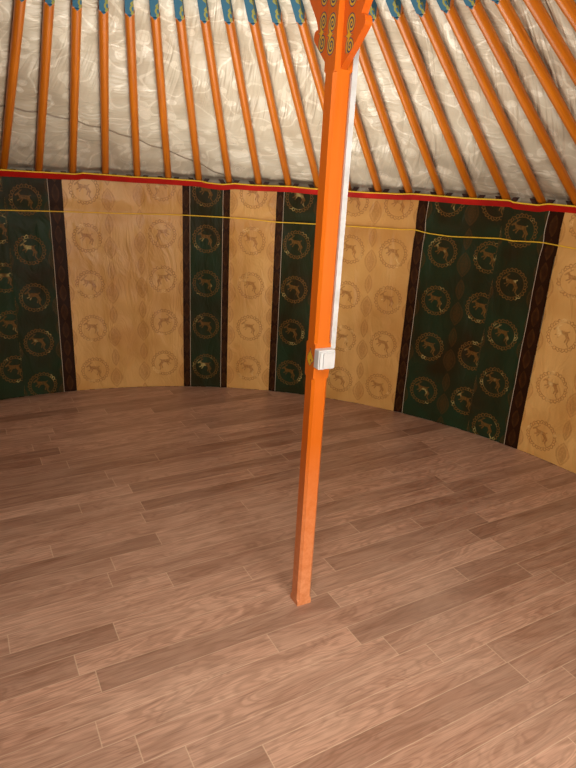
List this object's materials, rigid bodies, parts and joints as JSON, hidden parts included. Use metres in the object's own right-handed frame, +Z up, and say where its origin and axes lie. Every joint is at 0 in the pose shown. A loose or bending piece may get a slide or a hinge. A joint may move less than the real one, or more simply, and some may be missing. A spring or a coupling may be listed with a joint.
{
  "type": "felt yurt",
  "caption": "Round felt yurt with a pole roof, two posts under an open crown, lattice walls hung with patterned cloths inside, felt and canvas covers outside and a low panelled door.",
  "frame": {"origin": "on the ground under the middle of the crown", "axes": "+Z up, -Y towards the door, +X towards the right of someone facing the back of the room"},
  "size_m": [5.5298, 5.5296, 3.0025],
  "materials": {
    "painted_pole_wood": "painted, satin",
    "painted_post_wood": "painted, satin",
    "painted_crown_wood": "painted, satin",
    "stained_lattice_wood": "stained, matte",
    "painted_door_wood": "painted, satin",
    "handle_brass": "worn",
    "deck_wood": "planed",
    "vinyl_sheet": "printed timber pattern",
    "wool_felt": "matte",
    "white_canvas": "matte",
    "silver_satin": "satin",
    "gold_satin": "satin",
    "green_satin": "satin",
    "brown_satin": "satin",
    "red_cotton": "matte",
    "yellow_cord": "matte",
    "hair_rope": "matte",
    "white_plastic": "semi-gloss"
  },
  "bodies": {
    "root": {"band_piping": "yellow_cord", "border_strips": "brown_satin", "cable_trunking": "white_plastic", "crown_cover": "wool_felt", "crown_rim": "painted_crown_wood", "crown_spokes": "painted_crown_wood", "door_frame": "painted_door_wood", "door_handle": "handle_brass", "door_hinges": "handle_brass", "door_leaf": "painted_door_wood", "floor_deck": "deck_wood", "floor_sheet": "vinyl_sheet", "gold_cloths_east": "gold_satin", "gold_cloths_west": "gold_satin", "green_cloths_east": "green_satin", "green_cloths_west": "green_satin", "inner_cord": "yellow_cord", "lattice_wall_1": "stained_lattice_wood", "lattice_wall_2": "stained_lattice_wood", "lattice_wall_3": "stained_lattice_wood", "lattice_wall_4": "stained_lattice_wood", "lattice_wall_5": "stained_lattice_wood", "light_switch": "white_plastic", "post_east": "painted_post_wood", "post_west": "painted_post_wood", "post_wings_east": "painted_post_wood", "post_wings_west": "painted_post_wood", "roof_canvas": "white_canvas", "roof_felt_1": "wool_felt", "roof_felt_2": "wool_felt", "roof_felt_3": "wool_felt", "roof_felt_4": "wool_felt", "roof_liner": "silver_satin", "roof_poles_1": "painted_pole_wood", "roof_poles_2": "painted_pole_wood", "roof_poles_3": "painted_pole_wood", "roof_poles_4": "painted_pole_wood", "roof_poles_5": "painted_pole_wood", "roof_ropes": "hair_rope", "wall_band": "red_cotton", "wall_canvas": "white_canvas", "wall_felt_1": "wool_felt", "wall_felt_2": "wool_felt", "wall_felt_3": "wool_felt", "wall_felt_4": "wool_felt", "wall_ropes": "hair_rope"}
  },
  "joints": []
}
